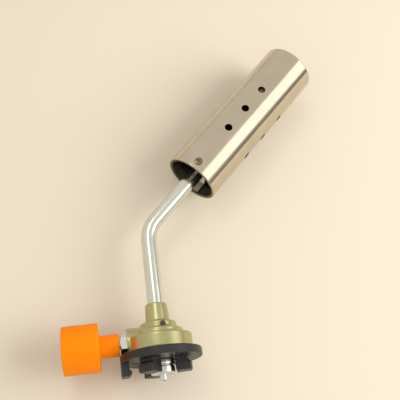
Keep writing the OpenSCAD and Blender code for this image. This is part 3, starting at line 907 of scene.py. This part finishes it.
class TORCH_OT_needle_valve(bpy.types.Operator):
    """Gland nut, and the finishes of the spindle, its seal and its washer"""

    bl_idname = "torch.needle_valve"
    bl_label = "Needle valve"

    def execute(self, context):
        low, high = box_mm("gland_nut")
        across = high.z - low.z
        out, start = -low.x, -high.x
        boss = -box_mm("valve_body")[0].x
        stem = sizes().spindle_radius / MM + 0.06
        nut = prism("gland_nut_hex", across / math.sqrt(3), boss, out)
        chamfer = turned("Chamfer", [(across * 0.55, boss - 0.1), (across * 0.575, boss + 0.3),
                                     (across * 0.6, boss + 0.8), (across * 0.6, out - 0.9),
                                     (across * 0.5, out)], 72)
        combine(nut, "INTERSECT", chamfer)
        combine(nut, "UNION", rod("Thread", 3.95, start, boss + 0.5, 64))
        combine(nut, "DIFFERENCE", rod("Bore", stem, start - 1, out + 1, 48),
                turned("Countersink", [(stem, out - 0.5), (stem + 0.9, out + 0.4)], 48))
        soften(nut, 0.12, over=25)
        settle(nut, knob_frame())
        finish_piece(nut, "gland_nut_hex", "torch", ["gland_nut"], plated_steel())
        refinish("spindle", turned_brass())
        refinish("gland_washer", turned_brass())
        refinish("spindle_seal", seal_rubber())
        return {"FINISHED"}


class TORCH_OT_knob(bpy.types.Operator):
    """Orange knob with its neck and cored end, and the screw in it"""

    bl_idname = "torch.knob"
    bl_label = "Knob"

    def execute(self, context):
        low, high = box_mm("knob")
        radius = (high.z - low.z) / 2
        start, end = -high.x, -low.x
        screw_low, screw_high = box_mm("knob_screw")
        head = 1.6
        seat = -screw_low.x - head
        stem = sizes().spindle_radius / MM + PASS_GAP
        neck, shoulder = 5.5, start + 9.6
        rim, floor = radius - 2.2, end - 12
        hub, well, hole = 7.0, 3.7, 1.35
        outline = fillet(
            [(stem, start), (neck, start), (neck, shoulder), (radius, shoulder), (radius, end),
             (rim, end), (rim, floor), (hub, floor), (hub, end), (well, end), (well, seat),
             (hole, seat)], 0.6, steps=5)
        outline += [(hole, seat - 2.2), (stem, seat - 2.3)]
        knob = turned("knob_grip", outline, 96, closed=True)
        ribs = []
        count, half = 6, 0.6
        for i in range(count):
            rib = block("Rib", (hub - 0.1, -half, floor - 0.2), (rim + 0.1, half, end - 1.5))
            settle(rib, Matrix.Rotation(math.radians(360 / count * i + 30), 4, "Z"))
            ribs.append(rib)
        combine(knob, "UNION", join(ribs))
        settle(knob, knob_frame())
        finish_piece(knob, "knob_grip", "control", ["knob"], orange_plastic())
        screw = pan_screw("knob_screw_pan", 2.5, head, 1.25, screw_high.x - screw_low.x - 10.8)
        settle(screw, knob_frame() @ Matrix.Translation((0, 0, seat)))
        finish_piece(screw, "knob_screw_pan", "control", ["knob_screw"], plated_steel())
        return {"FINISHED"}


class TORCH_OT_collar(bpy.types.Operator):
    """Black bayonet collar with its claws and lug, and the screws that hold it"""

    bl_idname = "torch.collar"
    bl_label = "Bayonet collar"

    def execute(self, context):
        low, high = box_mm("bayonet_collar")
        radius, thick, deep = high.x, high.z, low.z
        bore, rebate, floor = 7.05, 16.6, thick - 0.5
        outline = fillet(
            [(bore, 0), (radius, 0), (radius, thick), (rebate, thick), (rebate, floor),
             (16.2, floor), (bore, floor)], 0.5)
        collar = turned("bayonet_collar_moulding", outline, 128, closed=True)
        half = sizes().claw_width / MM / 2
        root, inner, outer, shank, ledge = 0.5, 7.6, 14.5, 13.2, -2.1
        claws = []
        for i in range(3):
            ring = turned("Claw", [(inner, root), (inner, deep), (13.9, deep), (outer, deep + 0.6),
                                   (outer, ledge), (shank, ledge), (shank, root)], 96, closed=True)
            combine(ring, "INTERSECT", block("Width", (0, -half, deep - 1), (radius, half, 2)))
            settle(ring, Matrix.Rotation(sizes().claw_turn + math.radians(120 * i), 4, "Z"))
            claws.append(ring)
        side, lug_in = 4, 4 - radius
        lug = block("Lug", (-radius, -side, -6.2), (lug_in, side, root))
        barb = prism("Barb", 1.3, -side, side)
        settle(barb, Matrix.Translation((lug_in, 0, -4.4)) @ Matrix.Rotation(math.pi / 2, 4, "X"))
        combine(lug, "UNION", barb)
        combine(lug, "INTERSECT", rod("Rim", radius, -7, 2, 128))
        combine(collar, "UNION", *claws, lug)
        cast(collar, 0.28, 3)
        cuts = []
        turns = (math.radians(-60), math.radians(60))
        seat = 1.6
        out = Matrix.Translation((FIXING_CIRCLE, 0, 0))
        for turn in turns:
            hole = turned("Hole", [(2.7, -1), (2.7, seat), (1.55, seat + 0.01), (1.55, 6)], 40)
            settle(hole, Matrix.Rotation(turn, 4, "Z") @ out)
            cuts.append(hole)
        peg = rod("Peg", 1.72, -1, 6, 32)
        settle(peg, Matrix.Translation((-FIXING_CIRCLE, 0, 0)))
        combine(collar, "DIFFERENCE", join([*cuts, peg]))
        finish_piece(collar, "bayonet_collar_moulding", "torch", ["bayonet_collar"],
                     black_plastic())
        screw = pan_screw("Screw", 2.6, 1.4, 1.5, -7.4)
        both = []
        place = Matrix.Translation((FIXING_CIRCLE, 0, seat)) @ Matrix.Rotation(math.pi, 4, "X")
        for turn in turns:
            both.append(copy_of(screw, Matrix.Rotation(turn, 4, "Z") @ place))
        bpy.data.objects.remove(screw)
        finish_piece(join(both), "collar_screw_pair", "torch", ["collar_screws"],
                     plated_steel())
        return {"FINISHED"}


class TORCH_OT_inlet(bpy.types.Operator):
    """Inlet spigot with its nozzle, and the finishes of its gasket and filter"""

    bl_idname = "torch.inlet"
    bl_label = "Inlet"

    def execute(self, context):
        low, high = box_mm("inlet_spigot")
        radius = high.x
        bore, pin, thread, well = 0.8, 2.0, 4.98, 4.2
        groove = radius - 0.5
        nose, neck, floor = -6.5, -0.2, 4.4
        outline = fillet(
            [(bore, low.z), (pin, low.z), (pin, nose), (radius, nose), (radius, -3.4),
             (groove, -3.1), (groove, -2.7), (radius, -2.4), (radius, neck), (thread, neck),
             (thread, high.z), (well, high.z), (well, floor), (bore, floor)], 0.35)
        spigot = turned("inlet_spigot_turned", outline, 72, closed=True)
        finish_piece(spigot, "inlet_spigot_turned", "torch", ["inlet_spigot"],
                     plated_steel())
        refinish("inlet_gasket", seal_rubber())
        refinish("inlet_filter", sintered_bronze())
        return {"FINISHED"}


# ---------------------------------------------------------------- stage


def soft_light(name, aim, towards, distance, along, size, glow, tint):
    """A rectangular soft light that looks back at a point, with its long side along a direction.

    Its glow is what a perfect mirror would show of it, on top of the world behind it.
    """
    data = bpy.data.lights.new(name, "AREA")
    data.shape = "RECTANGLE"
    data.size, data.size_y = size
    data.energy = glow * math.pi * size[0] * size[1]
    data.color = tint
    light = bpy.data.objects.new(name, data)
    bpy.context.scene.collection.objects.link(light)
    back = Vector(towards).normalized()
    side = Vector(along).cross(back).normalized()
    turn = Matrix((side, back.cross(side), back)).transposed().to_4x4()
    light.matrix_world = Matrix.Translation(Vector(aim) + back * distance) @ turn
    light.visible_camera = False
    return light


class TORCH_OT_stage(bpy.types.Operator):
    """Pale surface behind the torch, soft lights and the camera"""

    bl_idname = "torch.stage"
    bl_label = "Stage"

    def execute(self, context):
        scene = context.scene
        scene.view_settings.view_transform = "Standard"
        self.surface()
        self.world(scene)
        low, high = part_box("burner_barrel")
        middle = (low + high) / 2
        axis = barrel_frame().to_3x3() @ Vector((0, 0, 1))
        window = (middle, WINDOW_TOWARDS, LAMP_DISTANCE, axis, WINDOW_SIZE)
        soft_light("Window", *window, 1.1, (0.92, 1.0, 1.0))
        # The same window again, for dull surfaces only: no surface mirrors it
        fill = soft_light("Fill", *window, 4.5, (1.0, 0.99, 0.96))
        fill.visible_glossy = False
        low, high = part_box("gas_tube")
        soft_light("Lamp", (low + high) / 2, LAMP_TOWARDS, LAMP_DISTANCE, (0, 0, 1), LAMP_SIZE, 3.0,
                   (1.0, 0.97, 0.92))
        self.camera(scene)
        return {"FINISHED"}

    @staticmethod
    def surface():
        """One-sided plane that the torch lies against."""
        bpy.ops.object.select_all(action="DESELECT")
        bpy.ops.mesh.primitive_plane_add(size=8)
        plane = take_new("surface")
        _, collar_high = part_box("bayonet_collar")
        plane.rotation_euler = (math.radians(90), 0, 0)
        plane.location = (0, collar_high.y + 0.0005, 0.08)
        material = bpy.data.materials.new("Pale surface")
        material.use_nodes = True
        tree = material.node_tree
        shader = tree.nodes["Principled BSDF"]
        shader.inputs["Base Color"].default_value = opaque(colours().surface)
        shader.inputs["Roughness"].default_value = 0.7
        clear = tree.nodes.new("ShaderNodeBsdfTransparent")
        side = tree.nodes.new("ShaderNodeNewGeometry")
        mix = tree.nodes.new("ShaderNodeMixShader")
        tree.links.new(side.outputs["Backfacing"], mix.inputs["Fac"])
        tree.links.new(shader.outputs["BSDF"], mix.inputs[1])
        tree.links.new(clear.outputs["BSDF"], mix.inputs[2])
        tree.links.new(mix.outputs["Shader"], tree.nodes["Material Output"].inputs["Surface"])
        plane.data.materials.append(material)

    @staticmethod
    def world(scene):
        """Warm light all round, darker behind the torch towards the right."""
        scene.world = bpy.data.worlds.new("Room")
        scene.world.use_nodes = True
        tree = scene.world.node_tree
        sky = tree.nodes["Background"]
        sky.inputs["Color"].default_value = (1.0, 0.94, 0.85, 1)
        direction = tree.nodes.new("ShaderNodeTexCoord")
        parts = tree.nodes.new("ShaderNodeSeparateXYZ")
        fades = []
        for axis, start, end in (("Y", -0.40, 0.0), ("X", -0.3, 0.4)):
            fade = tree.nodes.new("ShaderNodeMapRange")
            fade.interpolation_type = "SMOOTHSTEP"
            fade.inputs["From Min"].default_value = start
            fade.inputs["From Max"].default_value = end
            tree.links.new(parts.outputs[axis], fade.inputs["Value"])
            fades.append(fade)
        both, level = tree.nodes.new("ShaderNodeMath"), tree.nodes.new("ShaderNodeMapRange")
        both.operation = "MULTIPLY"
        level.inputs["To Min"].default_value = 0.80
        level.inputs["To Max"].default_value = 0.25
        tree.links.new(direction.outputs["Generated"], parts.inputs["Vector"])
        for i in range(2):
            tree.links.new(fades[i].outputs["Result"], both.inputs[i])
        tree.links.new(both.outputs[0], level.inputs["Value"])
        tree.links.new(level.outputs["Result"], sky.inputs["Strength"])

    @staticmethod
    def camera(scene):
        """Camera in front of and a little below the torch, rolled a few degrees."""
        data = bpy.data.cameras.new("Camera")
        data.sensor_width = 36
        data.lens = CAMERA_LENS
        camera = bpy.data.objects.new("Camera", data)
        scene.collection.objects.link(camera)
        right = Vector(CAMERA_RIGHT)
        forward = Vector(CAMERA_FORWARD)
        up = right.cross(forward)
        turn = Matrix((right, up, -forward)).transposed().to_4x4()
        camera.matrix_world = Matrix.Translation(CAMERA_PLACE) @ turn
        scene.camera = camera


class TORCH_PT_panel(bpy.types.Panel):
    """Lists the pieces, their sizes and their colours"""

    bl_idname = "TORCH_PT_panel"
    bl_label = "Gas torch head"
    bl_space_type = "VIEW_3D"
    bl_region_type = "UI"
    bl_category = "Torch"

    def draw(self, context):
        for group in (context.scene.torch_sizes, context.scene.torch_colours):
            column = self.layout.column()
            for name in group.__annotations__:
                column.prop(group, name)
        column = self.layout.column()
        for operator in OPERATORS:
            column.operator(operator.bl_idname)


OPERATORS = (
    TORCH_OT_barrel, TORCH_OT_tube_bracket, TORCH_OT_burner, TORCH_OT_gas_tube,
    TORCH_OT_valve_body, TORCH_OT_needle_valve, TORCH_OT_knob, TORCH_OT_collar,
    TORCH_OT_inlet, TORCH_OT_stage,
)
CLASSES = (TorchSizes, TorchColours, *OPERATORS, TORCH_PT_panel)


def register():
    for cls in CLASSES:
        bpy.utils.register_class(cls)
    bpy.types.Scene.torch_sizes = bpy.props.PointerProperty(type=TorchSizes)
    bpy.types.Scene.torch_colours = bpy.props.PointerProperty(type=TorchColours)


def unregister():
    del bpy.types.Scene.torch_colours
    del bpy.types.Scene.torch_sizes
    for cls in reversed(CLASSES):
        bpy.utils.unregister_class(cls)


def main():
    """Makes every piece and the stage."""
    register()
    mottle_group()
    grain_group()
    wear_group()
    for operator in OPERATORS:
        name = operator.bl_idname.split(".")[1]
        getattr(bpy.ops.torch, name)()


if __name__ == "__main__":
    main()
